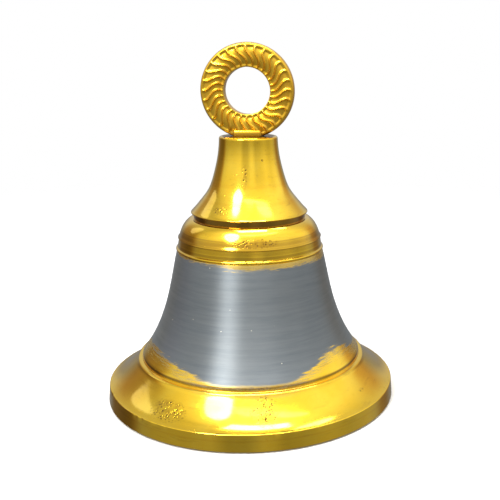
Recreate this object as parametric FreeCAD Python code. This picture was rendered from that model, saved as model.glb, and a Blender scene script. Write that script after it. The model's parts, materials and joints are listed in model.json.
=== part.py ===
"""Hanging church bell: a turned brass shell under a separate brass neck, held together by an eye
bolt that screws up into a cast hanging ring, with a clapper on a chain link inside.

Millimetres, +Z up. The origin is the centre of the mouth, on the plane that the rim stands on.
The hanging ring's hole runs along Y. Each function returns one sub-part, exported to its own file.
"""
import FreeCAD
import Part

import math
import os

V = FreeCAD.Vector
AXIS_X, AXIS_Y, AXIS_Z = V(1, 0, 0), V(0, 1, 0), V(0, 0, 1)

# Shell, from the rim up
RIM_R = 75.0                 # outer radius at the rim's foot
FOOT_CHAMFER = 0.8
LIP_H, LIP_TOP_R = 8.8, 74.4         # upright band round the rim, leaning in a little
MOUTH_R = 66.0               # inner radius at the mouth
RIDGE_R, RIDGE_Z = 59.0, 21.3        # sharp ridge at the top of the skirt
WAIST_R, WAIST_Z = 56.7, 23.6        # where the waist starts, above the ridge's step
BAND_R, BAND_Z = 37.5, 78.5  # ridge where the waist meets the shoulder
BEAD_R, BEAD_Z = 36.0, 85.2  # foot of the rounded shoulder
DOME_R = 29.9                # where the rounded shoulder meets the crown
CROWN_Z, CROWN_T = 93.9, 4.9 # flat crown that the neck stands on, and its thickness
CEILING_R = 26.0             # flat part of the crown's underside
REGISTER_R, REGISTER_H = 21.4, 1.6   # raised disc that centres the neck
REGISTER_PLAY = 0.1

# Neck
FOOT_R, FOOT_H = 28.5, 2.5   # recessed foot under the flare
FLARE_R = 29.7               # sharp lower edge of the flare
NECK_TOP_R, NECK_TOP_Z = 14.7, 135.0
NECK_ROUND = 1.1             # rounded edge of the neck's top face
NECK_ROOF = 8.0              # solid metal under the neck's top face
NECK_BORE_R = 9.6            # hollow under that metal

# Hanging ring
RING_Z = 157.2               # centre of the hole
RING_OUT_R, RING_IN_R = 22.9, 11.5
RING_T = 9.5                 # thickness at the crown of the rounded faces
RING_EDGE_T, RING_LAND_T = 6.0, 6.5  # thickness at the outer edge and along the hole
RING_BULGE = 0.5             # how far the outer edge stands out in its middle
RING_GAP = 0.3               # air between the ring's underside and the neck, beside the boss
BOSS_W, BOSS_D, BOSS_H = 14.0, 10.4, 3.8
BOSS_ROUND = 1.2
FLUTES = 28                  # grooves on each face
FLUTE_R, FLUTE_DEPTH = 1.4, 0.7
FLUTE_SLANT = 28.0           # degrees that a groove leans off the radius
FLUTE_SWEEP = 58.0           # degrees of the rounded face that a groove covers

# Eye bolt and washers, under the crown
BOLT_R = 3.0
HOLE_R = 3.25                # holes that the bolt passes through
BOLT_TOP_Z = 142.0           # the thread's end, inside the ring's boss
LEATHER_R, LEATHER_T = 15.0, 1.5
WASHER_R, WASHER_T = 11.0, 1.6
SPRING_R, SPRING_T, SPRING_GAP = 5.6, 1.6, 1.2
COLLAR_R, COLLAR_T = 6.5, 2.5
EYE_WIRE_R, EYE_R = 2.0, 5.5         # the bolt's eye: wire and centreline radius
EYE_SINK = 0.8               # how far the eye is forged into the collar
ROOT_LOW_R, ROOT_HIGH_R, ROOT_H = 2.4, 3.6, 1.4   # cone between the eye and the collar
SPLIT_ANGLE = 40.0           # where the spring washer is split, from +X

# Clapper
LINK_WIRE_R = 1.5
PLAY = 0.15                  # room between a bar and the loop hung on it
LINK_LENGTH = 6.0            # between the centres of the link's two ends
LOOP_LENGTH = 4.0            # between the centres of the rod loop's two ends
ROD_R = 2.2
BOB_R, BOB_Z = 12.0, 15.5    # ball of the clapper at rest
BOB_NECK_R, BOB_TOP_Z = 4.8, 30.0
NUT_ACROSS_FLATS, NUT_H = 8.0, 4.0
NUT_CORNER_CUT = 0.25        # taken off the nut's corners

# Levels that follow from the stack under the crown
CEILING_Z = CROWN_Z - CROWN_T
LEATHER_Z = CEILING_Z - LEATHER_T
WASHER_Z = LEATHER_Z - WASHER_T
SPRING_Z = WASHER_Z - SPRING_T
COLLAR_Z = SPRING_Z - COLLAR_T
EYE_Z = COLLAR_Z - EYE_R - EYE_WIRE_R + EYE_SINK
LINK_PIVOT_Z = EYE_Z - EYE_R                      # axis of the eye's lowest bar
HANG_R = EYE_WIRE_R + LINK_WIRE_R + PLAY          # centreline radius of every hung loop
LINK_END_Z = LINK_PIVOT_Z - LINK_LENGTH
CLAPPER_PIVOT_Z = LINK_END_Z - HANG_R             # axis of the link's lowest bar
LOOP_END_Z = CLAPPER_PIVOT_Z - LOOP_LENGTH


def at(radius, z):
    """A point of a turned outline: radius from the bell's axis, and height."""
    return V(radius, 0, z)


def line(*points):
    """Straight runs through these (radius, z) points."""
    ends = [at(*p) for p in points]
    return [Part.LineSegment(a, b).toShape() for a, b in zip(ends, ends[1:])]


def arc(start, through, end):
    return [Part.Arc(at(*start), at(*through), at(*end)).toShape()]


def curve(*points):
    """One smooth curve through these (radius, z) points."""
    spline = Part.BSplineCurve()
    spline.interpolate([at(*p) for p in points])
    return [spline.toShape()]


def turned(edges):
    """The solid that a closed outline sweeps round the bell's axis."""
    face = Part.Face(Part.Wire(edges))
    return face.revolve(V(0, 0, 0), AXIS_Z, 360)


def disc(radius, z, height):
    return Part.makeCylinder(radius, height, at(0, z))


def washer(outer, inner, z, height):
    return disc(outer, z, height).cut(disc(inner, z - 1, height + 2))


def wire_loop(top_z, end_z, wire_r, axis):
    """A closed oval of round wire in the plane across axis, its ends HANG_R about two centres."""
    side = AXIS_Z.cross(axis)
    room = 3 * HANG_R
    pieces = []
    for centre_z, half_foot in ((top_z, top_z), (end_z, end_z - room)):
        bend = Part.makeTorus(HANG_R, wire_r, at(0, centre_z), axis)
        half = Part.makeBox(2 * room, 2 * room, room, V(-room, -room, half_foot))
        pieces.append(bend.common(half))
    for sign in (-1, 1):
        foot = at(0, end_z) + side * (sign * HANG_R)
        pieces.append(Part.makeCylinder(wire_r, top_z - end_z, foot, AXIS_Z))
    return pieces[0].fuse(pieces[1:]).removeSplitter()


def bell_shell():
    """The cast and turned bell: lip, skirt, ridge, waist, shoulder and crown, then the inside."""
    outside = lip_and_skirt() + ridge_and_waist() + shoulder()
    inside = (
        line((REGISTER_R, CROWN_Z), (REGISTER_R, CROWN_Z + REGISTER_H), (HOLE_R, CROWN_Z + REGISTER_H),
             (HOLE_R, CEILING_Z), (CEILING_R, CEILING_Z))
        + arc((CEILING_R, CEILING_Z), (31.5, 86.2), (33.6, 80.0))
        + curve((33.6, 80.0), (35.3, 70.0), (37.6, 59.0), (40.6, 47.0), (44.6, 36.0), (49.3, 26.0),
                (54.4, 17.0), (60.2, 8.0), (MOUTH_R, 0))
    )
    return turned(outside + inside)


def lip_and_skirt():
    """The flat rim, the upright band and the hollow skirt up to the ridge."""
    band_top = (LIP_TOP_R, LIP_H - 0.4)
    skirt_foot = (LIP_TOP_R - 0.5, LIP_H + 0.1)
    return (
        line((MOUTH_R, 0), (RIM_R - FOOT_CHAMFER, 0), (RIM_R, FOOT_CHAMFER), band_top)
        + arc(band_top, (LIP_TOP_R - 0.15, LIP_H - 0.05), skirt_foot)
        + curve(skirt_foot, (70.3, 10.6), (66.3, 13.6), (62.6, 17.2), (RIDGE_R + 0.5, RIDGE_Z - 0.7))
    )


def ridge_and_waist():
    """The ridge, the fine groove behind it, and the long flaring waist."""
    ridge_low = (RIDGE_R + 0.5, RIDGE_Z - 0.7)
    ridge_in = (RIDGE_R - 0.8, RIDGE_Z + 0.3)
    groove_out = (WAIST_R + 0.55, RIDGE_Z + 0.3)
    groove_in = (WAIST_R + 0.25, RIDGE_Z + 0.8)
    waist_foot = (WAIST_R, WAIST_Z)
    return (
        arc(ridge_low, (RIDGE_R + 0.05, RIDGE_Z), ridge_in)
        + line(ridge_in, groove_out)
        + arc(groove_out, (WAIST_R + 0.3, RIDGE_Z + 0.45), groove_in)
        + line(groove_in, waist_foot)
        + curve(waist_foot, (52.3, 30.0), (47.35, 40.0), (43.8, 50.0), (41.25, 60.0), (39.15, 70.0),
                (BAND_R + 0.1, BAND_Z - 1.6))
    )


def shoulder():
    """From the waist up: a fine ridge, a plain band, a second ridge and the rounded shoulder."""
    waist_top = (BAND_R + 0.1, BAND_Z - 1.6)
    ridge_low, ridge_high = (BAND_R + 0.15, BAND_Z - 0.4), (BAND_R - 0.1, BAND_Z + 0.6)
    band_low, band_high = (BAND_R - 0.6, BAND_Z + 0.9), (BEAD_R + 0.25, BEAD_Z - 1.3)
    line_out, bead_foot = (BEAD_R + 0.65, BEAD_Z - 0.8), (BEAD_R, BEAD_Z)
    return (
        line(waist_top, (BAND_R - 0.1, BAND_Z - 0.9), ridge_low)
        + arc(ridge_low, (BAND_R + 0.3, BAND_Z + 0.1), ridge_high)
        + line(ridge_high, band_low, band_high)
        + arc(band_high, (BEAD_R + 0.6, BEAD_Z - 1.1), line_out)
        + line(line_out, bead_foot)
        + curve(bead_foot, (35.25, 87.3), (34.2, 89.6), (32.45, 92.0), (DOME_R, CROWN_Z))
        + line((DOME_R, CROWN_Z), (REGISTER_R, CROWN_Z))
    )


def crown_neck():
    """The hollow neck: recessed foot, sharp-edged flare and flat top with a rounded edge."""
    foot_top = CROWN_Z + FOOT_H
    recess_r = REGISTER_R + REGISTER_PLAY
    roof_z = NECK_TOP_Z - NECK_ROOF
    side_top = (NECK_TOP_R, NECK_TOP_Z - NECK_ROUND)
    top_edge = (NECK_TOP_R - NECK_ROUND, NECK_TOP_Z)
    round_mid = NECK_ROUND * (1 - math.sqrt(0.5))
    flare_low, flare_high = (FLARE_R - 0.5, foot_top + 0.15), (FLARE_R - 0.2, foot_top + 0.9)
    hollow_foot = (recess_r, CROWN_Z + 4.8)
    outline = (
        line((recess_r, CROWN_Z), (FOOT_R, CROWN_Z), (FOOT_R, foot_top), flare_low)
        + arc(flare_low, (FLARE_R, foot_top + 0.5), flare_high)
        + curve(flare_high, (27.2, 99.8), (23.7, 104.0), (20.8, 108.0), (19.0, 112.0), (17.2, 118.0),
                (15.8, 124.0), (14.95, 130.0), side_top)
        + arc(side_top, (NECK_TOP_R - round_mid, NECK_TOP_Z - round_mid), top_edge)
        + line(top_edge, (HOLE_R, NECK_TOP_Z), (HOLE_R, roof_z), (NECK_BORE_R, roof_z))
        + curve((NECK_BORE_R, roof_z), (11.0, 121.5), (13.0, 113.0), (16.6, 105.0), hollow_foot)
        + line(hollow_foot, (recess_r, CROWN_Z))
    )
    return turned(outline)


def ring_blank():
    """The ring without its grooves: two rounded faces between an outer edge and a plain land."""
    middle = (RING_OUT_R + RING_IN_R) / 2
    corners = [V(r, y / 2, 0) for r, y in ((RING_IN_R, -RING_LAND_T), (RING_OUT_R, -RING_EDGE_T),
                                           (RING_OUT_R, RING_EDGE_T), (RING_IN_R, RING_LAND_T))]
    front, back = V(middle, -RING_T / 2, 0), V(middle, RING_T / 2, 0)
    edge = V(RING_OUT_R + RING_BULGE, 0, 0)
    section = Part.Wire([
        Part.Arc(corners[0], front, corners[1]).toShape(),
        Part.Arc(corners[1], edge, corners[2]).toShape(),
        Part.Arc(corners[2], back, corners[3]).toShape(),
        Part.LineSegment(corners[3], corners[0]).toShape(),
    ])
    ring = Part.Face(section).revolve(V(0, 0, 0), AXIS_Y, 360)
    ring.translate(at(0, RING_Z))
    return ring


def flute(number, side):
    """One groove cutter: part of a torus that follows the rounded face, leaning off the radius."""
    middle = (RING_OUT_R + RING_IN_R) / 2
    chord = (RING_OUT_R - RING_IN_R) / 2
    rise = RING_T / 2 - (RING_EDGE_T + RING_LAND_T) / 4
    face_r = (chord ** 2 + rise ** 2) / (2 * rise)
    centre = V(middle, side * (RING_T / 2 - face_r), 0)
    cutter = Part.makeTorus(face_r + FLUTE_R - FLUTE_DEPTH, FLUTE_R, V(0, 0, 0), AXIS_Z,
                            0, 360, FLUTE_SWEEP)
    cutter.rotate(V(0, 0, 0), AXIS_Z, side * 90 - FLUTE_SWEEP / 2)
    cutter.rotate(V(0, 0, 0), AXIS_Y, FLUTE_SLANT * side)
    cutter.translate(centre)
    cutter.rotate(V(0, 0, 0), AXIS_Y, 360.0 * number / FLUTES)
    cutter.translate(at(0, RING_Z))
    return cutter


def hanging_ring():
    """The cast ring with its slanting grooves and the square boss that the eye bolt screws into."""
    ring = ring_blank()
    cutters = [flute(n, side) for side in (-1, 1) for n in range(FLUTES)]
    ring = ring.cut(Part.makeCompound(cutters))
    room = 2 * RING_OUT_R
    below = Part.makeBox(2 * room, 2 * room, room, V(-room, -room, NECK_TOP_Z + RING_GAP - room))
    boss = Part.makeBox(BOSS_W, BOSS_D, BOSS_H, V(-BOSS_W / 2, -BOSS_D / 2, NECK_TOP_Z))
    upright = [e for e in boss.Edges if abs(e.tangentAt(0).z) > 0.9]
    boss = boss.makeFillet(BOSS_ROUND, upright)
    ring = ring.cut(below).fuse(boss)
    tapped = disc(BOLT_R, NECK_TOP_Z - 1, BOLT_TOP_Z - NECK_TOP_Z + 1)
    return ring.cut(tapped).removeSplitter()


def eye_bolt():
    """The forged bolt that clamps the bell together; the clapper hangs from its eye."""
    shank = disc(BOLT_R, COLLAR_Z, BOLT_TOP_Z - COLLAR_Z)
    collar = disc(COLLAR_R, COLLAR_Z, COLLAR_T)
    eye = Part.makeTorus(EYE_R, EYE_WIRE_R, at(0, EYE_Z), AXIS_X)
    root = Part.makeCone(ROOT_LOW_R, ROOT_HIGH_R, ROOT_H, at(0, COLLAR_Z - ROOT_H))
    return shank.fuse([collar, root, eye]).removeSplitter()


def leather_washer():
    return washer(LEATHER_R, HOLE_R, LEATHER_Z, LEATHER_T)


def steel_washer():
    return washer(WASHER_R, HOLE_R, WASHER_Z, WASHER_T)


def spring_washer():
    """A split lock washer, pressed flat."""
    ring = washer(SPRING_R, HOLE_R, SPRING_Z, SPRING_T)
    slot = Part.makeBox(2 * SPRING_R, SPRING_GAP, SPRING_T + 2, V(0, -SPRING_GAP / 2, SPRING_Z - 1))
    slot.rotate(at(0, SPRING_Z), AXIS_Z, SPLIT_ANGLE)
    return ring.cut(slot)


def clapper_link():
    return wire_loop(LINK_PIVOT_Z, LINK_END_Z, LINK_WIRE_R, AXIS_Y)


def clapper_rod():
    """A round rod with a closed loop at its top; its lower end is screwed into the bob."""
    loop = wire_loop(CLAPPER_PIVOT_Z, LOOP_END_Z, EYE_WIRE_R, AXIS_X)
    rod = disc(ROD_R, BOB_Z, LOOP_END_Z - HANG_R - BOB_Z)
    return loop.fuse(rod).removeSplitter()


def lock_nut():
    """Hexagon nut, its corners rounded off, that locks the bob on the rod."""
    corner = NUT_ACROSS_FLATS / math.sqrt(3)
    corners = [V(corner, 0, BOB_TOP_Z)]
    for turn in range(60, 361, 60):
        angle = math.radians(turn)
        corners.append(V(corner * math.cos(angle), corner * math.sin(angle), BOB_TOP_Z))
    prism = Part.Face(Part.makePolygon(corners)).extrude(V(0, 0, NUT_H))
    return prism.common(disc(corner - NUT_CORNER_CUT, BOB_TOP_Z, NUT_H)).cut(disc(ROD_R, BOB_TOP_Z, NUT_H))


def clapper_bob():
    """The turned pear that strikes the bell: most of a ball, drawn up into a short neck."""
    def on_ball(angle):
        return BOB_R * math.cos(math.radians(angle)), BOB_Z + BOB_R * math.sin(math.radians(angle))

    outline = (
        arc(on_ball(-90), on_ball(-20), on_ball(50))
        + curve(on_ball(50), (5.9, 26.4), (BOB_NECK_R, BOB_TOP_Z))
        + line((BOB_NECK_R, BOB_TOP_Z), (ROD_R, BOB_TOP_Z), (ROD_R, BOB_Z), (0, BOB_Z), on_ball(-90))
    )
    return turned(outline)


def main():
    parts = {
        "bell_shell": bell_shell(),
        "crown_neck": crown_neck(),
        "hanging_ring": hanging_ring(),
        "eye_bolt": eye_bolt(),
        "leather_washer": leather_washer(),
        "steel_washer": steel_washer(),
        "spring_washer": spring_washer(),
        "clapper_link": clapper_link(),
        "clapper_rod": clapper_rod(),
        "lock_nut": lock_nut(),
        "clapper_bob": clapper_bob(),
    }
    os.makedirs("parts", exist_ok=True)
    for name, shape in parts.items():
        print(f"{name:15s} valid {shape.isValid()} solids {len(shape.Solids)} cm3 {shape.Volume / 1000:.2f}")
        shape.exportStep(f"parts/{name}.step")
    print(f"link pivot z {LINK_PIVOT_Z:.2f}, clapper pivot z {CLAPPER_PIVOT_Z:.2f}")


main()
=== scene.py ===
"""Looks for the hanging church bell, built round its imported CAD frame. Metres, +Z up."""
import json
import math
import random

import bmesh
import bpy
from mathutils import Matrix, Vector


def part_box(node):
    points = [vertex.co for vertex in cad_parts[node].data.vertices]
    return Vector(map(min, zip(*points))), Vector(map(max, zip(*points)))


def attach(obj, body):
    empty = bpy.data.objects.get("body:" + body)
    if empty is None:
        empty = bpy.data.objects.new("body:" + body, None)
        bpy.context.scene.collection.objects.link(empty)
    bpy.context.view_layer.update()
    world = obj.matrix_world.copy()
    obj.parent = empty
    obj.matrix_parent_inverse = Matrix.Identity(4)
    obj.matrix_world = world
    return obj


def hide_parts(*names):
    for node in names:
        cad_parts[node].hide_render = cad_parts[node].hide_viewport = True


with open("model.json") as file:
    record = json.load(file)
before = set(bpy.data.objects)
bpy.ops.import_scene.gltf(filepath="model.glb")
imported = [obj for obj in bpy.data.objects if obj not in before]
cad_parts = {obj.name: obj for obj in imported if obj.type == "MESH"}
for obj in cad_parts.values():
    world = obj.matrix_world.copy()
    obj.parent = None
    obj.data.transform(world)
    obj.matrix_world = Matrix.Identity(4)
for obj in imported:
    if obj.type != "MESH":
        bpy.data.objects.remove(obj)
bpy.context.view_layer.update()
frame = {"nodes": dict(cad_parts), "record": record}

MM = 0.001
SEED = 7
FRONT = math.radians(8)      # the photographed front of the bell, turned from -Y towards +X
SHARP = math.radians(38)     # edges sharper than this are shaded as edges


def rgb(red, green, blue):
    return (red, green, blue, 1.0)


# ---------------------------------------------------------------- metals and leather

GOLD = rgb(0.95, 0.595, 0.026)
PALE_GOLD = rgb(0.98, 0.65, 0.045)
DEEP_GOLD = rgb(0.80, 0.41, 0.012)
# tarnish, and also the brown of the painted shade and painted dark reflection on the shell, neck and ring
TARNISH_AND_SHADE = rgb(0.30, 0.14, 0.012)
# brown for the painted shade in the groove under the neck's flare
GROOVE_SHADE_BROWN = rgb(0.20, 0.085, 0.008)
# brown of the corroded pits, and of the painted shade on the neck's top under the ring
PIT_AND_SHADE_BROWN = rgb(0.05, 0.022, 0.004)
INNER_BRASS = rgb(0.45, 0.27, 0.07)
CAST_BRASS = rgb(0.82, 0.49, 0.035)
DARK_CAST_BRASS = rgb(0.72, 0.40, 0.022)
SATIN_DARK = rgb(0.155, 0.176, 0.190)
SATIN_LIGHT = rgb(0.190, 0.210, 0.218)
SATIN_STROKE = rgb(0.235, 0.250, 0.255)
SATIN_HAZE = rgb(0.20, 0.215, 0.22)
# near-white specks painted on the satin as glints
PAINTED_GLINT = rgb(0.95, 0.90, 0.70)
BROWN_LEATHER = rgb(0.17, 0.075, 0.03)
DARK_LEATHER = rgb(0.08, 0.035, 0.016)

SHELL_ROUGHNESS = 0.12
NECK_ROUGHNESS = 0.11
BOB_ROUGHNESS = 0.24
INNER_ROUGHNESS = 0.30       # inside the shell
RING_ROUGHNESS = (0.30, 0.38)
SATIN_ROUGHNESS = (0.44, 0.54)
SATIN_METALLIC = 0.76
BRASS_COAT = 0.35            # the thin clear film that polished brass has
COAT_ROUGHNESS = 0.08
# How far the gloss is drawn out across the turning marks.
GOLD_BRUSHING, NECK_BRUSHING, SATIN_BRUSHING = 0.5, 0.4, 0.95
# Depths of bump.
TURNED_BUMP = 0.06 * MM
STEEL_BUMP = 0.05 * MM
CAST_BUMP = 0.012 * MM
BOB_BUMP = 0.08 * MM
PORE_BUMP = 0.1 * MM

# The steels by material: light and dark colour, and roughness.
STEELS = {"bolt_steel": (rgb(0.52, 0.50, 0.48), rgb(0.30, 0.28, 0.26), 0.34),
          "washer_steel": (rgb(0.62, 0.62, 0.64), rgb(0.45, 0.45, 0.48), 0.28),
          "spring_steel": (rgb(0.20, 0.20, 0.22), rgb(0.11, 0.11, 0.13), 0.32),
          "link_steel": (rgb(0.50, 0.48, 0.45), rgb(0.26, 0.23, 0.20), 0.30)}
STEEL_NODES = {"eye_bolt": "bolt_steel", "steel_washer": "washer_steel", "spring_washer": "spring_steel",
               "clapper_link": "link_steel", "clapper_rod": "link_steel"}

# Noise scales, in cycles to a metre.
CLOUDS = 55.0
STAINS = 260.0
BROAD_RINGS = 420.0
FINE_RINGS = 2600.0
SHOULDER_RINGS = 900.0
PIT_CELLS = 850.0
PIT_CRUST = 420.0
STRAY_PITS = 150.0
GLINT_CELLS = 480.0

GLINT_LOT = (0.972, 0.975)     # only cells whose random number is above this hold a painted glint

# ---------------------------------------------------------------- marks of use

# Pitted places: bearing from the front in degrees, height in mm, half-spread in degrees and in mm.
SHELL_PITS = ((-36, 13.0, 10, 4.0), (5, 15.5, 7, 6.0), (4, 87.5, 21, 2.6), (6, 79.0, 14, 0.9),
              (3, 23.3, 8, 0.9), (54, 13.5, 2, 0.9), (128, 15.0, 10, 4.0), (-142, 86.0, 18, 3.0),
              (170, 12.0, 8, 3.0))
NECK_PITS = ((-7, 117.0, 4.5, 7.0), (-33, 101.0, 11, 2.0), (25, 124.5, 2.5, 0.9), (140, 112.0, 7, 8.0))
# Where the gold is brushed up over the grey: bearing and half-spread in degrees, and rise in mm.
SMEARS = ((-80, 34, 5.2), (-50, 36, 5.0), (52, 36, 8.6), (88, 22, 3.0), (128, 30, 6.5), (-132, 30, 7.0))

# Heights on the shell and the neck.
WAIST_FOOT = (22.9 * MM, 23.8 * MM)      # the step that the waist stands in, darkened there as painted shade
SATIN_FOOT = 23.9 * MM
SATIN_TOP = 77.7 * MM
SATIN_TOP_DROP = 2.2 * MM                # how far down the gold comes over it at the front and the right
SATIN_TOP_TURN = (-0.75, -0.10)          # the bearings, in radians, between which it comes down
RIDGE_FOOT = (77.4 * MM, 77.8 * MM)
SHOULDER = (78.4 * MM, 88.6 * MM)
DOME_FOOT = (84.2 * MM, 88.0 * MM)
NECK_GROOVE = (96.6 * MM, 97.4 * MM)
SMEAR_RAGGED = 1.7 * MM                  # how far single strokes reach past the satin's edge
SMEAR_WANDER = 1.0 * MM                  # how far the edge itself wanders up and down
GHOST_DEPTH = 6.0 * MM                   # how far satin still shows through, below its edge

KNOCKS = 26                              # small dents along the lip's upper edge
KNOCK_DEPTH = (0.15 * MM, 0.40 * MM)
KNOCK_WIDTH = (0.006, 0.014)             # in radians
KNOCK_REACH = 1.2 * MM
LIP_TOP = 8.6 * MM
KNOCK_SOFT = 0.5 * MM                    # how far from the lip's upper edge a knock fades
LIP_LEAN = 0.6 * MM                      # how far the lip's upper edge is in from the rim

# The turned pieces: points round the axis, and the longest stretch between two on the outline.
SHELL_MESH = (360, 1.6 * MM)
NECK_MESH = (240, 2.0 * MM)
BOB_MESH = (128, 1.2 * MM)

# ---------------------------------------------------------------- the ring and its pad

RING_FLUTES = 28
RING_LAND = 6.5 * MM         # thickness along the hole
RING_EDGE = 7.2 * MM         # thickness at the outer edge
RING_MIDDLE = 9.5 * MM       # thickness between them
RING_ROUND = 1.0 * MM        # rounding between the ring's face and its outer edge
RING_CROWNING = 2.2          # a higher power makes the faces flatter
FLUTE_DEPTH = 0.72 * MM
FLUTE_HOLLOW = 0.16          # share of the depth that is one hollow curve from crest to crest
CREST_WIDTH = 0.125          # half-width of a crest, in flutes
CREST_CROWDING = 0.6         # how much the points crowd towards the crests, from 0 to 1
FLUTE_HOOK = 1.75            # how far the S swings back at both ends of a flute
FLUTE_LEAN = 0.40            # how much more the flutes lean on one side of the ring than on the other
INNER_FADE, OUTER_FADE = 0.14, 0.13      # shares of a flute's length over which its ends run out
FLUTE_STEPS = 26             # points across one flute
FACE_STEPS = 56              # points along one flute
EDGE_STEPS = 16
LAND_STEPS = 10
RING_GAP = 0.3 * MM          # air between the ring's underside and the neck, beside the pad

PAD_WIDE = 14.4 * MM
PAD_TALL = 3.1 * MM
PAD_CORNER = 1.3 * MM
PAD_CORNER_STEPS = 5
PAD_SIDE_TAPER = 0.2         # the pad's ends lean in by this share of what its faces do
# Height and size, as shares of the pad's.
PAD_ROWS = ((0.0, 0.955), (0.06, 0.985), (0.15, 0.99), (0.40, 0.985), (0.62, 0.975), (0.80, 0.955),
            (0.92, 0.91), (1.0, 0.84))

# ---------------------------------------------------------------- studio

WARM = (1.0, 0.74, 0.48)
PLAIN = (1.0, 1.0, 1.0)
# The surroundings by degrees right of the front: brightness and tint, near the horizon and high up.
LOW_SURROUNDINGS = ((-180, 0.60, PLAIN), (-152, 0.55, PLAIN), (-140, 0.36, WARM), (-118, 0.26, WARM),
                    (-108, 0.29, WARM), (-104, 0.42, WARM), (-94, 0.72, PLAIN), (-78, 0.84, PLAIN),
                    (-50, 0.86, PLAIN), (-31, 0.92, PLAIN), (-19, 0.62, PLAIN), (-4, 0.64, PLAIN),
                    (8, 0.95, PLAIN), (16, 0.90, PLAIN), (25, 0.68, PLAIN), (42, 0.78, PLAIN),
                    (61, 0.98, PLAIN), (81, 0.86, PLAIN), (102, 1.06, PLAIN), (114, 0.90, PLAIN),
                    (124, 0.60, WARM), (136, 0.50, WARM), (148, 0.55, PLAIN), (180, 0.60, PLAIN))
HIGH_SURROUNDINGS = ((-180, 0.60, PLAIN), (-150, 0.50, PLAIN), (-120, 0.48, PLAIN), (-106, 0.46, PLAIN),
                     (-96, 0.62, PLAIN), (-78, 0.82, PLAIN), (-60, 1.0, PLAIN), (95, 1.0, PLAIN),
                     (114, 0.80, PLAIN), (132, 0.62, PLAIN), (180, 0.60, PLAIN))
LOW_UP_TO, HIGH_FROM = 12, 42            # degrees of elevation
# Brightness by elevation in degrees.
SKY_LEVELS = ((-90, 0.30), (-30, 0.36), (-15, 0.42), (0, 0.56), (12, 1.06), (30, 1.18), (55, 1.30),
              (70, 1.6), (90, 1.7))

BELL_MIDDLE = Vector((0, 0, 0.07))
LIGHT_DISTANCE = 1.2
COOL = (0.9, 1.0, 2.0)
# Long lights: name, the bearing and elevation of both ends, width in degrees, radiance, shape, tint.
LIGHTS = (("key", (-32, 32), (-56, 67), 20, 15, "ELLIPSE", PLAIN),
          ("front_left", (-24, 60), (24, 62), 7, 2.6, "ELLIPSE", PLAIN),
          ("front_right", (20, 62), (76, 58), 7, 2.6, "ELLIPSE", PLAIN),
          ("overhead", (-80, 78), (100, 74), 13, 20, "RECTANGLE", PLAIN),
          ("back_right", (120, 56), (146, 66), 12, 6, "ELLIPSE", PLAIN),
          ("side_window", (-120, 18), (-120, 44), 17, 0.42, "ELLIPSE", COOL))

FLOOR_RINGS = (0.04, 0.10, 0.2, 0.4, 0.8, 1.6, 3.2)
FLOOR_SEGMENTS = 64
FLOOR_DROP = 0.2 * MM
FLOOR_FADE = (0.15, 0.75)                # radii between which the floor fades away
PAPER_DARK = rgb(0.60, 0.60, 0.60)
PAPER_LIGHT = rgb(0.63, 0.63, 0.63)

# The photographed view, worked out from the curves of the rim and the ridges.
CAMERA_LENS = 57.13
CAMERA_SHIFT = -0.121
CAMERA_DISTANCE, CAMERA_HEIGHT = 0.4009, 0.1744
CAMERA_HEADING, CAMERA_PITCH, CAMERA_ROLL = (math.radians(a) for a in (3.52, 13.81, 0.17))


# ---------------------------------------------------------------- shapes

def outline_of(node):
    """The closed outline that a turned CAD node sweeps, as (radius, z) points in order."""
    mesh = frame["nodes"][node].data
    points = {}
    for vertex in mesh.vertices:
        if abs(vertex.co.y) < 1e-7 and vertex.co.x > -1e-9:
            points[vertex.index] = (round(vertex.co.x, 7), round(vertex.co.z, 7))
    beside = {}
    for edge in mesh.edges:
        a, b = (points.get(i) for i in edge.vertices)
        if a and b and a != b:
            beside.setdefault(a, set()).add(b)
            beside.setdefault(b, set()).add(a)
    ends = [p for p in beside if len(beside[p]) == 1]
    path = [min(ends) if ends else min(beside)]
    while True:
        ahead = [p for p in beside[path[-1]] if p not in path[-2:] and p != path[0]]
        if not ahead:
            return path
        path.append(ahead[0])


def refined(path, step):
    """The outline with more points, so that no stretch between two is longer than step."""
    fine = []
    for a, b in zip(path, path[1:] + path[:1]):
        pieces = max(1, math.ceil(math.dist(a, b) / step))
        for k in range(pieces):
            t = k / pieces
            fine.append((a[0] + (b[0] - a[0]) * t, a[1] + (b[1] - a[1]) * t))
    return fine


def piece_from(mesh_builder, name, body, replaced):
    """A smooth-shaded piece from a bmesh, hung on its body, with the CAD node that it replaces hidden."""
    mesh = bpy.data.meshes.new(name)
    mesh_builder.normal_update()
    mesh_builder.to_mesh(mesh)
    mesh_builder.free()
    piece = bpy.data.objects.new(name, mesh)
    bpy.context.scene.collection.objects.link(piece)
    for polygon in mesh.polygons:
        polygon.use_smooth = True
    mesh.set_sharp_from_angle(angle=SHARP)
    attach(piece, body)
    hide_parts(replaced)
    return piece


def lathe(node, segments, step, shape=None):
    """The surface that a turned CAD node's outline sweeps round Z. shape(radius, z, angle) may move
    each point."""
    path = refined(outline_of(node), step)
    builder = bmesh.new()
    columns = []
    for s in range(segments):
        angle = 2 * math.pi * s / segments
        column = []
        for radius, z in path:
            if radius < 1e-6 and columns:
                column.append(columns[0][len(column)])
                continue
            r, h = shape(radius, z, angle) if shape else (radius, z)
            column.append(builder.verts.new((r * math.cos(angle), r * math.sin(angle), h)))
        columns.append(column)
    count = len(path)
    for s in range(segments):
        here, there = columns[s], columns[(s + 1) % segments]
        for k in range(count):
            corners = [here[k], there[k], there[(k + 1) % count], here[(k + 1) % count]]
            unique = list(dict.fromkeys(corners))
            if len(unique) > 2:
                builder.faces.new(unique)
    bmesh.ops.recalc_face_normals(builder, faces=builder.faces)
    return builder


# ---------------------------------------------------------------- node trees

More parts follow.
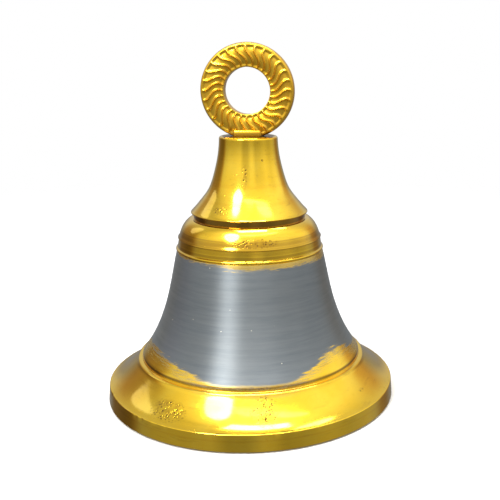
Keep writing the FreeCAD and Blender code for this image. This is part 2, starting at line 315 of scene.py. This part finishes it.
class Tree:
    """A node tree with short calls for adding and joining nodes."""

    def __init__(self, owner):
        owner.use_nodes = True
        self.tree = owner.node_tree
        self.tree.nodes.clear()

    def add(self, kind, inputs=None, **settings):
        node = self.tree.nodes.new(kind)
        for name, value in settings.items():
            setattr(node, name, value)
        for name, value in (inputs or {}).items():
            self.feed(node.inputs[name], value)
        return node

    def feed(self, socket, value):
        """Join value to the socket if it is a socket too, or else set it there."""
        if isinstance(value, bpy.types.NodeSocket):
            self.tree.links.new(value, socket)
        else:
            socket.default_value = value

    def math(self, operation, a, b=0.0):
        return self.add("ShaderNodeMath", {0: a, 1: b}, operation=operation).outputs[0]

    def remap(self, value, low, high, to_low=0.0, to_high=1.0, smooth=True):
        """value from low..high, clamped, turned into to_low..to_high."""
        inputs = {"Value": value, "From Min": low, "From Max": high, "To Min": to_low, "To Max": to_high}
        kind = "SMOOTHSTEP" if smooth else "LINEAR"
        return self.add("ShaderNodeMapRange", inputs, interpolation_type=kind).outputs["Result"]

    def ramp(self, value, stops):
        """Colours between stops, each a place from 0 to 1 and a colour."""
        node = self.add("ShaderNodeValToRGB", {"Fac": value})
        elements = node.color_ramp.elements
        while len(elements) < len(stops):
            elements.new(0.5)
        for element, (place, colour) in zip(elements, stops):
            element.position = place
            element.color = (*colour, 1)
        return node.outputs["Color"]

    def mix(self, factor, a, b, blend="MIX"):
        """A colour between a and b."""
        node = self.add("ShaderNodeMix", data_type="RGBA", blend_type=blend)
        return self.join_mix(node, factor, a, b)

    def blend(self, factor, a, b):
        """A number between a and b."""
        node = self.add("ShaderNodeMix", data_type="FLOAT")
        return self.join_mix(node, factor, a, b)

    def join_mix(self, node, factor, a, b):
        self.feed(node.inputs["Factor"], factor)
        self.feed(node.inputs["A"], a)
        self.feed(node.inputs["B"], b)
        return node.outputs["Result"]

    def noise(self, vector, scale, detail=2.0, rough=0.5):
        inputs = {"Vector": vector, "Scale": scale, "Detail": detail, "Roughness": rough}
        return self.add("ShaderNodeTexNoise", inputs).outputs["Fac"]

    def lines(self, value, scale, detail=3.0, rough=0.6):
        """Noise along one line only: value is where on it."""
        inputs = {"W": value, "Scale": scale, "Detail": detail, "Roughness": rough}
        return self.add("ShaderNodeTexNoise", inputs, noise_dimensions="1D").outputs["Fac"]

    def cells(self, vector, scale):
        """Scattered cells: the sockets of a Voronoi pattern."""
        return self.add("ShaderNodeTexVoronoi", {"Vector": vector, "Scale": scale}).outputs


class Place:
    """Where a point of a turned piece is, from its own object coordinates, in metres and radians."""

    def __init__(self, tree):
        self.point = tree.add("ShaderNodeTexCoord").outputs["Object"]
        split = tree.add("ShaderNodeSeparateXYZ", {0: self.point}).outputs
        self.x, self.y, self.z = split[0], split[1], split[2]
        self.radius = tree.math("SQRT", tree.math("ADD", tree.math("MULTIPLY", self.x, self.x),
                                                  tree.math("MULTIPLY", self.y, self.y)))
        side = tree.math("ARCTAN2", self.x, tree.math("MULTIPLY", self.y, -1.0))
        self.angle = tree.math("SUBTRACT", side, FRONT)


def from_axis(tree, place, up):
    """The direction straight out from the axis, with up as its third number."""
    return tree.add("ShaderNodeCombineXYZ", {
        0: tree.math("DIVIDE", place.x, place.radius),
        1: tree.math("DIVIDE", place.y, place.radius),
        2: up}).outputs[0]


def streaky(tree, place, fineness):
    """Coordinates in which noise is drawn out round the bell, fineness lines to a metre of height."""
    return from_axis(tree, place, tree.math("MULTIPLY", place.z, fineness))


def facing_out(tree, place):
    """1 on the outside of a turned piece and 0 on its inside, by which way the surface faces."""
    normal = tree.add("ShaderNodeNewGeometry").outputs["Normal"]
    outward = tree.add("ShaderNodeVectorMath", {0: from_axis(tree, place, 0.0), 1: normal},
                       operation="DOT_PRODUCT")
    return tree.remap(outward.outputs["Value"], -0.30, -0.10)


def between(tree, value, low, high, soft):
    """1 where value is between low and high, with soft edges."""
    rise = tree.remap(value, low - soft, low + soft)
    fall = tree.remap(value, high - soft, high + soft, 1.0, 0.0)
    return tree.math("MULTIPLY", rise, fall)


def worn_patches(tree, place, marks):
    """1 in the middle of each mark, and 0 away from them."""
    found = 0.0
    for bearing, height, spread, reach in marks:
        across = tree.math("MULTIPLY", tree.math("SUBTRACT", place.angle, math.radians(bearing)),
                           1 / math.radians(spread))
        along = tree.math("MULTIPLY", tree.math("SUBTRACT", place.z, height * MM), 1 / (reach * MM))
        away = tree.math("ADD", tree.math("MULTIPLY", across, across), tree.math("MULTIPLY", along, along))
        found = tree.math("MAXIMUM", found, tree.remap(away, 0.25, 1.0, 1.0, 0.0))
    return found


def turning_marks(tree, place):
    """Broad and fine rings left by the lathe tool: noise that changes only along the outline."""
    along = tree.math("ADD", place.z, tree.math("MULTIPLY", place.radius, 0.8))
    return tree.lines(along, BROAD_RINGS, 2.0), tree.lines(along, FINE_RINGS, 3.0)


# ---------------------------------------------------------------- materials

def metal_surface(tree, colour, roughness, height, depth, metallic=1.0, coat=0.0, brushed=0.0):
    """The shader itself, with its bump, joined to the material's output."""
    bump = tree.add("ShaderNodeBump", {"Strength": 1.0, "Distance": depth, "Height": height})
    shader = tree.add("ShaderNodeBsdfPrincipled", {"Base Color": colour, "Roughness": roughness,
                                                   "Metallic": metallic, "Normal": bump.outputs[0]})
    if coat:
        tree.feed(shader.inputs["Coat Weight"], coat)
        tree.feed(shader.inputs["Coat Roughness"], COAT_ROUGHNESS)
    if brushed:
        round_z = tree.add("ShaderNodeTangent", direction_type="RADIAL", axis="Z")
        tree.feed(shader.inputs["Tangent"], round_z.outputs[0])
        tree.feed(shader.inputs["Anisotropic"], brushed)
        tree.feed(shader.inputs["Anisotropic Rotation"], 0.25)
    tree.add("ShaderNodeOutputMaterial", {"Surface": shader.outputs[0]})


def brass_pits(tree, place, patch):
    """Corroded pits, close together inside the patches and rare outside, and the crust round them."""
    cells = tree.cells(place.point, PIT_CELLS)["Distance"]
    crust = tree.noise(place.point, PIT_CRUST, 3.0, 0.6)
    eaten = tree.math("MULTIPLY", tree.remap(cells, 0.22, 0.46, 1.0, 0.0), tree.remap(crust, 0.37, 0.45))
    stray = tree.math("MULTIPLY", tree.remap(cells, 0.06, 0.20, 1.0, 0.0),
                      tree.remap(tree.noise(place.point, STRAY_PITS), 0.68, 0.72))
    return tree.math("MAXIMUM", tree.math("MULTIPLY", eaten, patch), stray), crust


def brass_nodes(tree, place, rough, marks, pitted=(), outside=1.0):
    """Turned brass, with lathe marks as high as marks says and pits on its outside only: returns
    colour, roughness and a height for bump."""
    broad, fine = turning_marks(tree, place)
    clouds = tree.noise(place.point, CLOUDS, 4.0, 0.6)
    stain = tree.noise(place.point, STAINS, 5.0, 0.7)
    wiped = tree.noise(streaky(tree, place, 120.0), 5.0, 4.0, 0.6)
    patch = tree.math("MULTIPLY", worn_patches(tree, place, pitted), outside)
    pits, crust = brass_pits(tree, place, patch)
    grimy = tree.math("MULTIPLY", patch, tree.remap(crust, 0.35, 0.65, 0.05, 0.45))

    colour = tree.mix(tree.remap(clouds, 0.35, 0.68), GOLD, PALE_GOLD)
    colour = tree.mix(tree.remap(stain, 0.58, 0.80, 0.0, 0.45), colour, DEEP_GOLD)
    colour = tree.mix(tree.remap(broad, 0.55, 0.75, 0.0, 0.25), colour, DEEP_GOLD)
    colour = tree.mix(tree.remap(wiped, 0.55, 0.75, 0.0, 0.22), colour, TARNISH_AND_SHADE)
    colour = tree.mix(grimy, colour, TARNISH_AND_SHADE)
    colour = tree.mix(pits, colour, PIT_AND_SHADE_BROWN)

    roughness = tree.math("ADD", tree.remap(fine, 0.3, 0.7, rough * 0.8, rough * 1.25),
                          tree.remap(stain, 0.5, 0.8, 0.0, 0.10))
    roughness = tree.math("ADD", roughness, tree.math("MULTIPLY", patch, 0.08))

    height = tree.math("ADD", tree.math("MULTIPLY", fine, marks), tree.math("MULTIPLY", broad, marks * 1.6))
    height = tree.math("ADD", height, tree.math("MULTIPLY", tree.math("MULTIPLY", crust, patch), 0.35))
    height = tree.math("SUBTRACT", height, pits)
    return colour, roughness, height


def neck_brass():
    """Polished brass, with painted shade in the groove under the flare and on the neck's top under the
    ring.
    """
    material = bpy.data.materials.new("neck_brass")
    tree = Tree(material)
    place = Place(tree)
    colour, roughness, height = brass_nodes(tree, place, NECK_ROUGHNESS, 0.08, NECK_PITS)
    # painted shade: the groove under the flare is darkened towards brown
    groove = tree.remap(place.z, *NECK_GROOVE, 0.85, 0.0)
    colour = tree.mix(groove, colour, GROOVE_SHADE_BROWN)
    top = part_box("crown_neck")[1].z
    # painted shade: the neck's top is darkened to brown where the ring sits over it
    shade_under_ring = tree.math("MULTIPLY", tree.remap(place.z, top - 0.20 * MM, top - 0.05 * MM),
                           tree.remap(place.radius, 12.6 * MM, 13.8 * MM, 1.0, 0.0))
    colour = tree.mix(tree.math("MULTIPLY", shade_under_ring, 0.9), colour, PIT_AND_SHADE_BROWN)
    roughness = tree.blend(shade_under_ring, roughness, 0.5)
    metal_surface(tree, colour, roughness, height, TURNED_BUMP, coat=BRASS_COAT, brushed=NECK_BRUSHING)
    return material


def ring_brass():
    """Cast brass, only lightly polished: softer, with a faint grain, and with painted shade near the neck.
    """
    material = bpy.data.materials.new("ring_brass")
    tree = Tree(material)
    place = Place(tree)
    grain = tree.noise(place.point, 900.0, 4.0, 0.6)
    clouds = tree.noise(place.point, 120.0, 3.0, 0.5)
    colour = tree.mix(tree.remap(clouds, 0.35, 0.7), CAST_BRASS, DARK_CAST_BRASS)
    colour = tree.mix(tree.remap(grain, 0.55, 0.75, 0.0, 0.3), colour, TARNISH_AND_SHADE)
    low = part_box("hanging_ring")[0].z
    # painted shade: the ring darkens towards its foot, just over the neck
    shaded = tree.remap(place.z, low, low + 3.5 * MM, 0.45, 0.0)
    colour = tree.mix(shaded, colour, TARNISH_AND_SHADE)
    roughness = tree.remap(clouds, 0.3, 0.7, *RING_ROUGHNESS)
    metal_surface(tree, colour, roughness, grain, CAST_BUMP, coat=BRASS_COAT)
    return material


def satin_mask(tree, place):
    """1 where the grey satin finish covers the waist, and the strokes that it was brushed with. Its
    lower edge is ragged, with gold brushed up over it, and its upper edge fades into the fine ridge."""
    foot = SATIN_FOOT
    for bearing, spread, rise in SMEARS:
        away = tree.math("ABSOLUTE", tree.math("SUBTRACT", place.angle, math.radians(bearing)))
        foot = tree.math("ADD", foot, tree.remap(away, 0.0, math.radians(spread), rise * MM, 0.0))
    drawn = streaky(tree, place, 330.0)
    strokes = tree.noise(drawn, 9.0, 4.0, 0.65)
    wander = tree.noise(drawn, 2.2, 2.0, 0.5)
    ragged = tree.math("ADD", tree.remap(strokes, 0.25, 0.75, -SMEAR_RAGGED, SMEAR_RAGGED, smooth=False),
                       tree.remap(wander, 0.3, 0.7, -SMEAR_WANDER, SMEAR_WANDER, smooth=False))
    above_foot = tree.math("SUBTRACT", place.z, foot)
    calm = tree.remap(tree.math("SUBTRACT", foot, SATIN_FOOT), 0.0, 3.0 * MM, 0.25, 1.0)
    edge = tree.math("ADD", above_foot, tree.math("MULTIPLY", ragged, calm))
    ghost = tree.math("MULTIPLY", tree.remap(edge, -GHOST_DEPTH, 0.0),
                      tree.remap(strokes, 0.38, 0.66, 0.10, 0.62))
    ghost = tree.math("MULTIPLY", ghost, tree.remap(above_foot, -9.0 * MM, -1.0 * MM))
    low = tree.math("MAXIMUM", tree.remap(edge, -0.9 * MM, 1.1 * MM), ghost)
    top = tree.math("SUBTRACT", SATIN_TOP, tree.remap(place.angle, *SATIN_TOP_TURN, 0.0, SATIN_TOP_DROP))
    high = tree.remap(tree.math("SUBTRACT", top, tree.math("ADD", place.z, ragged)), -0.8 * MM, 1.0 * MM)
    below_ridge = tree.remap(place.z, *RIDGE_FOOT, 1.0, 0.0)
    veil = tree.math("MULTIPLY", tree.blend(high, 0.42, 1.0), below_ridge)
    return tree.math("MULTIPLY", low, veil), strokes


def shell_gold(tree, place, outside):
    """The shell's polished brass, darkened as painted dark reflection round the shoulder and at the dome's
    foot, with painted shade in the step at the waist's foot, and duller inside.
    """
    gold, rough, height = brass_nodes(tree, place, SHELL_ROUGHNESS, 0.10, SHELL_PITS, outside)
    gold = tree.mix(tree.remap(outside, 0.0, 1.0, 0.65, 0.0), gold, INNER_BRASS)
    rough = tree.blend(outside, INNER_ROUGHNESS, rough)
    # painted dark reflection: the shoulder is darkened towards brown, in rings along the turning marks
    shoulder = between(tree, place.z, *SHOULDER, 0.9 * MM)
    uneven = tree.remap(tree.lines(place.z, SHOULDER_RINGS, 3.0, 0.7), 0.30, 0.70, 0.12, 0.50)
    gold = tree.mix(tree.math("MULTIPLY", shoulder, uneven), gold, TARNISH_AND_SHADE)
    # painted dark reflection: the dome's foot is darkened towards brown
    dome_foot = between(tree, place.z, *DOME_FOOT, 0.9 * MM)
    gold = tree.mix(tree.math("MULTIPLY", dome_foot, 0.42), gold, TARNISH_AND_SHADE)
    # painted shade: a dark brown line in the step at the waist's foot
    step_shade = between(tree, place.z, *WAIST_FOOT, 0.3 * MM)
    gold = tree.mix(tree.math("MULTIPLY", step_shade, 0.75), gold, TARNISH_AND_SHADE)
    return gold, rough, height


def satin_grey(tree, place, strokes):
    """The grey satin's colour: fine bands round the bell, hazy places and a few painted glints."""
    bands = tree.noise(streaky(tree, place, 420.0), 1.3, 4.0, 0.6)
    haze = tree.noise(place.point, 40.0, 3.0, 0.5)
    grey = tree.mix(tree.remap(bands, 0.30, 0.70), SATIN_DARK, SATIN_LIGHT)
    grey = tree.mix(tree.remap(strokes, 0.35, 0.75, 0.0, 0.20), grey, SATIN_STROKE)
    grey = tree.mix(tree.remap(haze, 0.4, 0.65, 0.0, 0.25), grey, SATIN_HAZE)
    # painted highlights: a few near-white specks scattered over the satin as glints
    glint_cells = tree.cells(place.point, GLINT_CELLS)
    lot = tree.add("ShaderNodeSeparateColor", {0: glint_cells["Color"]}).outputs[0]
    glint = tree.math("MULTIPLY", tree.remap(glint_cells["Distance"], 0.07, 0.13, 1.0, 0.0),
                     tree.remap(lot, *GLINT_LOT))
    return tree.mix(glint, grey, PAINTED_GLINT)


def shell_brass():
    """The bell's polished brass, with the grey satin band brushed round the outside of its waist."""
    material = bpy.data.materials.new("shell_brass")
    tree = Tree(material)
    place = Place(tree)
    outside = facing_out(tree, place)
    gold, gold_rough, gold_height = shell_gold(tree, place, outside)
    mask, strokes = satin_mask(tree, place)
    mask = tree.math("MULTIPLY", mask, outside)
    hair = tree.noise(streaky(tree, place, 900.0), 6.0, 4.0, 0.7)
    grey_height = tree.math("ADD", tree.math("MULTIPLY", hair, 0.3), tree.math("MULTIPLY", strokes, 0.15))

    colour = tree.mix(mask, gold, satin_grey(tree, place, strokes))
    roughness = tree.blend(mask, gold_rough, tree.remap(hair, 0.3, 0.7, *SATIN_ROUGHNESS))
    height = tree.blend(mask, gold_height, grey_height)
    metal_surface(tree, colour, roughness, height, TURNED_BUMP,
                  metallic=tree.blend(mask, 1.0, SATIN_METALLIC),
                  coat=tree.blend(mask, BRASS_COAT, 0.0),
                  brushed=tree.blend(mask, GOLD_BRUSHING, SATIN_BRUSHING))
    return material


def inner_brass():
    """The bob and the nut: as turned, duller and browner."""
    material = bpy.data.materials.new("bob_brass")
    tree = Tree(material)
    place = Place(tree)
    colour, roughness, height = brass_nodes(tree, place, BOB_ROUGHNESS, 0.2)
    uneven = tree.noise(place.point, 30.0)
    colour = tree.mix(tree.remap(uneven, 0.45, 0.6, 0.0, 0.35), colour, INNER_BRASS)
    metal_surface(tree, colour, roughness, height, BOB_BUMP)
    return material


def steel(name):
    """Plain steel, with darker blotches and a fine grain."""
    light, dark, rough = STEELS[name]
    material = bpy.data.materials.new(name)
    tree = Tree(material)
    place = Place(tree)
    blotch = tree.noise(place.point, 180.0, 4.0, 0.6)
    grain = tree.noise(place.point, 1500.0, 3.0, 0.6)
    colour = tree.mix(tree.remap(blotch, 0.35, 0.7), light, dark)
    roughness = tree.remap(grain, 0.3, 0.7, rough * 0.8, rough * 1.3)
    metal_surface(tree, colour, roughness, grain, STEEL_BUMP)
    return material


def leather():
    """Dark leather, with fine pores and a mottled colour."""
    material = bpy.data.materials.new("washer_leather")
    tree = Tree(material)
    place = Place(tree)
    pores = tree.cells(place.point, 1300.0)["Distance"]
    clouds = tree.noise(place.point, 200.0, 4.0)
    colour = tree.mix(tree.remap(clouds, 0.3, 0.7), BROWN_LEATHER, DARK_LEATHER)
    roughness = tree.remap(clouds, 0.3, 0.7, 0.55, 0.75)
    metal_surface(tree, colour, roughness, pores, PORE_BUMP, metallic=0.0)
    return material


# ---------------------------------------------------------------- pieces

def make_shell():
    """The turned shell, with a few small knocks on the lip's upper edge."""
    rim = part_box("bell_shell")[1].x
    dice = random.Random(SEED)
    knocks = [(dice.uniform(0, 2 * math.pi), dice.uniform(*KNOCK_DEPTH), dice.uniform(*KNOCK_WIDTH))
              for _ in range(KNOCKS)]
    lip_top = Vector((rim - LIP_LEAN, LIP_TOP))

    def knocked(radius, z, angle):
        away = (Vector((radius, z)) - lip_top).length
        if away > KNOCK_REACH:
            return radius, z
        depth = 0.0
        for at, deep, wide in knocks:
            turn = (angle - at + math.pi) % (2 * math.pi) - math.pi
            depth += deep * math.exp(-(turn / wide) ** 2)
        depth *= math.exp(-(away / KNOCK_SOFT) ** 2)
        return radius - depth * 0.7, z - depth * 0.7

    builder = lathe("bell_shell", *SHELL_MESH, knocked)
    piece = piece_from(builder, "turned_shell", "bell", "bell_shell")
    piece.data.materials.append(shell_brass())


def make_neck():
    builder = lathe("crown_neck", *NECK_MESH)
    piece = piece_from(builder, "turned_neck", "bell", "crown_neck")
    piece.data.materials.append(neck_brass())


def make_bob():
    builder = lathe("clapper_bob", *BOB_MESH)
    piece = piece_from(builder, "turned_bob", "clapper", "clapper_bob")
    piece.data.materials.append(inner_brass())


def ring_section(inner, outer):
    """The ring's section without flutes, going round: (radius, y, share of the depth, how far along).
    How far along goes from 0 at the inner edge to 1 at the outer edge and on to 2 at the back."""
    reach = outer - RING_ROUND

    def half_thickness(t):
        across = abs(2 * t - 1)
        bulge = (RING_MIDDLE - (RING_LAND + RING_EDGE) / 2) / 2
        return (RING_LAND + (RING_EDGE - RING_LAND) * t) / 2 + bulge * (1 - across ** RING_CROWNING)

    def share(t):
        end = min(1.0, t / INNER_FADE, (1 - t) / OUTER_FADE)
        return end * end * (3 - 2 * end)

    steps = [0.5 - 0.5 * math.cos(math.pi * k / FACE_STEPS) for k in range(FACE_STEPS + 1)]
    points = [(inner + (reach - inner) * t, -half_thickness(t), share(t), t) for t in steps]
    for k in range(1, EDGE_STEPS):
        turn = math.pi * k / EDGE_STEPS
        points.append((reach + RING_ROUND * math.sin(turn), -RING_EDGE / 2 * math.cos(turn), 0.0, 1.0))
    points += [(inner + (reach - inner) * t, half_thickness(t), share(t), 2 - t) for t in reversed(steps)]
    points += [(inner, RING_LAND * (0.5 - k / LAND_STEPS), 0.0, 2.0) for k in range(1, LAND_STEPS)]
    return points


def outward_normals(section):
    """The direction out of the section at each of its points, as (radius, y)."""
    normals = []
    for k in range(len(section)):
        before, after = section[k - 1], section[(k + 1) % len(section)]
        along = Vector((after[0] - before[0], after[1] - before[1])).normalized()
        normals.append(Vector((-along.y, along.x)))
    return normals


def flute_turn(t):
    """How far a crest has gone round, in flutes: an S from the inner edge to the outer one."""
    if t > 1:
        return 2 - flute_turn(2 - t)
    return t - FLUTE_HOOK / (2 * math.pi) * math.sin(2 * math.pi * t)


def across_flute(step):
    """How far across its flute a column is, from 0 to 1, and how deep the flute is there."""
    even = step / FLUTE_STEPS
    phase = even - CREST_CROWDING * math.sin(2 * math.pi * even) / (2 * math.pi)
    from_crest = min(phase, 1 - phase)
    beside_crest = 1 - math.exp(-(from_crest / CREST_WIDTH) ** 2)
    return phase, (1 - FLUTE_HOLLOW) * beside_crest + FLUTE_HOLLOW * math.sin(math.pi * phase)


def make_ring():
    """The cast hanging ring: S-shaped flutes between crests on both faces, on a small pad. The mesh
    follows the flutes, so a column that starts at one crest comes back two crests further round."""
    eye = next(m for m in frame["record"]["mounts"] if m["name"] == "hanging_eye")
    centre_z = eye["pos_m"][2]
    low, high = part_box("hanging_ring")
    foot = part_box("crown_neck")[1].z + RING_GAP
    section = ring_section(eye["dims"]["r_mm"] * MM, high.x)
    normals = outward_normals(section)
    pitch = 2 * math.pi / RING_FLUTES
    builder = bmesh.new()
    columns = []
    for a in range(RING_FLUTES * FLUTE_STEPS):
        phase, scoop = across_flute(a % FLUTE_STEPS)
        column = []
        for (radius, y, share, t), out in zip(section, normals):
            angle = (a // FLUTE_STEPS + phase + flute_turn(t)) * pitch
            angle += FLUTE_LEAN / 2 * pitch * math.cos(angle) * math.sin(math.pi * t)
            depth = FLUTE_DEPTH * share * scoop
            r, v = radius + out.x * depth, y + out.y * depth
            z = max(centre_z + r * math.sin(angle), foot)
            column.append(builder.verts.new((r * math.cos(angle), v, z)))
        columns.append(column)
    last = len(section) - 1
    for a in range(len(columns)):
        here, there = columns[a], columns[(a + 1) % len(columns)]
        for k in range(last):
            builder.faces.new((here[k], there[k], there[k + 1], here[k + 1]))
        start, start_there = (columns[(a + 2 * FLUTE_STEPS + i) % len(columns)][0] for i in (0, 1))
        builder.faces.new((here[last], there[last], start_there, start))
    bmesh.ops.recalc_face_normals(builder, faces=builder.faces)
    add_pad(builder, low.z, high.y)
    piece = piece_from(builder, "fluted_ring", "bell", "hanging_ring")
    piece.data.materials.append(ring_brass())


def add_pad(builder, foot, half_depth):
    """The pad under the ring: a rounded block whose faces lean back into the ring."""
    loops = []
    for share, size in PAD_ROWS:
        x = PAD_WIDE / 2 * ((1 - PAD_SIDE_TAPER) + PAD_SIDE_TAPER * size)
        y = half_depth * size
        loop = []
        for quarter, (sx, sy) in enumerate(((1, 1), (-1, 1), (-1, -1), (1, -1))):
            for k in range(PAD_CORNER_STEPS + 1):
                turn = math.pi / 2 * (quarter + k / PAD_CORNER_STEPS)
                loop.append(builder.verts.new((sx * (x - PAD_CORNER) + PAD_CORNER * math.cos(turn),
                                               sy * (y - PAD_CORNER) + PAD_CORNER * math.sin(turn),
                                               foot + PAD_TALL * share)))
        loops.append(loop)
    for lower, upper in zip(loops, loops[1:]):
        for k in range(len(lower)):
            n = (k + 1) % len(lower)
            builder.faces.new((lower[k], lower[n], upper[n], upper[k]))
    builder.faces.new(list(reversed(loops[0])))
    builder.faces.new(loops[-1])


def dress_cad_nodes():
    """The fittings under the crown keep their CAD meshes and get their metals and leather."""
    steels = {name: steel(name) for name in STEELS}
    finishes = {node: steels[name] for node, name in STEEL_NODES.items()}
    finishes["lock_nut"] = inner_brass()
    finishes["leather_washer"] = leather()
    for node, material in finishes.items():
        mesh = frame["nodes"][node].data
        mesh.materials.clear()
        mesh.materials.append(material)


# ---------------------------------------------------------------- floor, surroundings, lights, camera

def floor_mesh():
    """A flat disc in rings, so that it can fade out evenly."""
    builder = bmesh.new()
    centre = builder.verts.new((0, 0, 0))
    inner = None
    for radius in FLOOR_RINGS:
        loop = []
        for s in range(FLOOR_SEGMENTS):
            angle = 2 * math.pi * s / FLOOR_SEGMENTS
            loop.append(builder.verts.new((radius * math.cos(angle), radius * math.sin(angle), 0)))
        for s in range(FLOOR_SEGMENTS):
            n = (s + 1) % FLOOR_SEGMENTS
            if inner:
                builder.faces.new((inner[s], loop[s], loop[n], inner[n]))
            else:
                builder.faces.new((centre, loop[s], loop[n]))
        inner = loop
    mesh = bpy.data.meshes.new("floor")
    builder.to_mesh(mesh)
    builder.free()
    return mesh


def make_floor():
    """A pale floor, seen from above only, that fades into the pale surroundings a little way off."""
    mesh = floor_mesh()
    floor = bpy.data.objects.new("floor", mesh)
    floor.location.z = -FLOOR_DROP
    bpy.context.scene.collection.objects.link(floor)
    material = bpy.data.materials.new("floor")
    tree = Tree(material)
    place = Place(tree)
    paper = tree.noise(place.point, 300.0, 3.0)
    shade = tree.mix(tree.remap(paper, 0.3, 0.7), PAPER_DARK, PAPER_LIGHT)
    matt = tree.add("ShaderNodeBsdfDiffuse", {"Color": shade})
    clear = tree.add("ShaderNodeBsdfTransparent")
    underside = tree.add("ShaderNodeNewGeometry").outputs["Backfacing"]
    fade = tree.math("MAXIMUM", tree.remap(place.radius, *FLOOR_FADE), underside)
    mixed = tree.add("ShaderNodeMixShader", {0: fade, 1: matt.outputs[0], 2: clear.outputs[0]})
    tree.add("ShaderNodeOutputMaterial", {"Surface": mixed.outputs[0]})
    mesh.materials.append(material)
    floor.visible_glossy = False


def azimuth_ramp(tree, share, stops):
    """Brightness and tint round the horizon; share goes from 0 to 1 over the whole turn."""
    return tree.ramp(share, [((a + 180) / 360, tuple(level * c for c in tint)) for a, level, tint in stops])


def height_share(elevation):
    """0 straight down, 0.5 at the horizon, 1 straight up."""
    return (elevation + 90) / 180


def make_world():
    """A soft studio: bright above, and darker and warmer behind the bell's two sides."""
    world = bpy.data.worlds.new("studio")
    bpy.context.scene.world = world
    tree = Tree(world)
    direction = tree.add("ShaderNodeTexCoord").outputs["Generated"]
    split = tree.add("ShaderNodeSeparateXYZ", {0: direction}).outputs
    bearing = tree.math("ARCTAN2", split[0], tree.math("MULTIPLY", split[1], -1.0))
    turned = tree.math("SUBTRACT", bearing, FRONT)
    share = tree.math("FRACT", tree.math("ADD", tree.math("DIVIDE", turned, 2 * math.pi), 0.5))
    near = azimuth_ramp(tree, share, LOW_SURROUNDINGS)
    far = azimuth_ramp(tree, share, HIGH_SURROUNDINGS)
    height = tree.math("ADD", tree.math("MULTIPLY", tree.math("ARCSINE", split[2]), 1 / math.pi), 0.5)
    rise = tree.ramp(height, [(height_share(e), (level, level, level)) for e, level in SKY_LEVELS])
    lifted = tree.remap(height, height_share(LOW_UP_TO), height_share(HIGH_FROM))
    light = tree.mix(1.0, tree.mix(lifted, near, far), rise, blend="MULTIPLY")
    lit = tree.add("ShaderNodeBackground", {"Color": light, "Strength": 1.0})
    seen = tree.add("ShaderNodeBackground", {"Color": rgb(1.0, 1.0, 1.0), "Strength": 1.0})
    camera_ray = tree.add("ShaderNodeLightPath").outputs["Is Camera Ray"]
    mixed = tree.add("ShaderNodeMixShader", {0: camera_ray, 1: lit.outputs[0], 2: seen.outputs[0]})
    tree.add("ShaderNodeOutputWorld", {"Surface": mixed.outputs[0]})


def towards(bearing, elevation):
    """The direction that is bearing degrees right of the bell's front and elevation degrees up."""
    turn = math.radians(bearing) + FRONT
    lift = math.radians(elevation)
    return Vector((math.sin(turn) * math.cos(lift), -math.cos(turn) * math.cos(lift), math.sin(lift)))


def softbox(name, low_end, high_end, width, radiance, shape, tint):
    """A long light, LIGHT_DISTANCE from the bell, between two directions, width degrees across."""
    first, second = towards(*low_end), towards(*high_end)
    middle = (first + second).normalized()
    length = (second - first).length * LIGHT_DISTANCE
    broad = 2 * LIGHT_DISTANCE * math.tan(math.radians(width / 2))
    light = bpy.data.lights.new(name, "AREA")
    light.shape = shape
    light.color = tint
    light.size = broad
    light.size_y = length
    light.energy = radiance * math.pi * broad * length
    lamp = bpy.data.objects.new(name, light)
    along = (second - first).normalized()
    across = along.cross(middle).normalized()
    facing = Matrix((across, middle.cross(across), middle)).transposed().to_4x4()
    lamp.matrix_world = Matrix.Translation(BELL_MIDDLE + middle * LIGHT_DISTANCE) @ facing
    lamp.visible_camera = False
    bpy.context.scene.collection.objects.link(lamp)


def make_camera():
    """The photographed view: a hand-held shot from a little above."""
    camera = bpy.data.cameras.new("camera")
    camera.sensor_width = 36
    camera.lens = CAMERA_LENS
    camera.shift_x = CAMERA_SHIFT
    camera.clip_start = 0.02
    eye = bpy.data.objects.new("camera", camera)
    spot = Vector((CAMERA_DISTANCE * math.sin(FRONT), -CAMERA_DISTANCE * math.cos(FRONT), CAMERA_HEIGHT))
    level = Matrix.Rotation(CAMERA_HEADING, 4, "Z") @ Matrix.Rotation(math.pi / 2 - CAMERA_PITCH, 4, "X")
    eye.matrix_world = Matrix.Translation(spot) @ level @ Matrix.Rotation(CAMERA_ROLL, 4, "Z")
    bpy.context.scene.collection.objects.link(eye)
    bpy.context.scene.camera = eye


make_shell()
make_neck()
make_bob()
make_ring()
dress_cad_nodes()
make_floor()
make_world()
for light in LIGHTS:
    softbox(*light)
make_camera()
bpy.context.scene.view_settings.view_transform = "Standard"
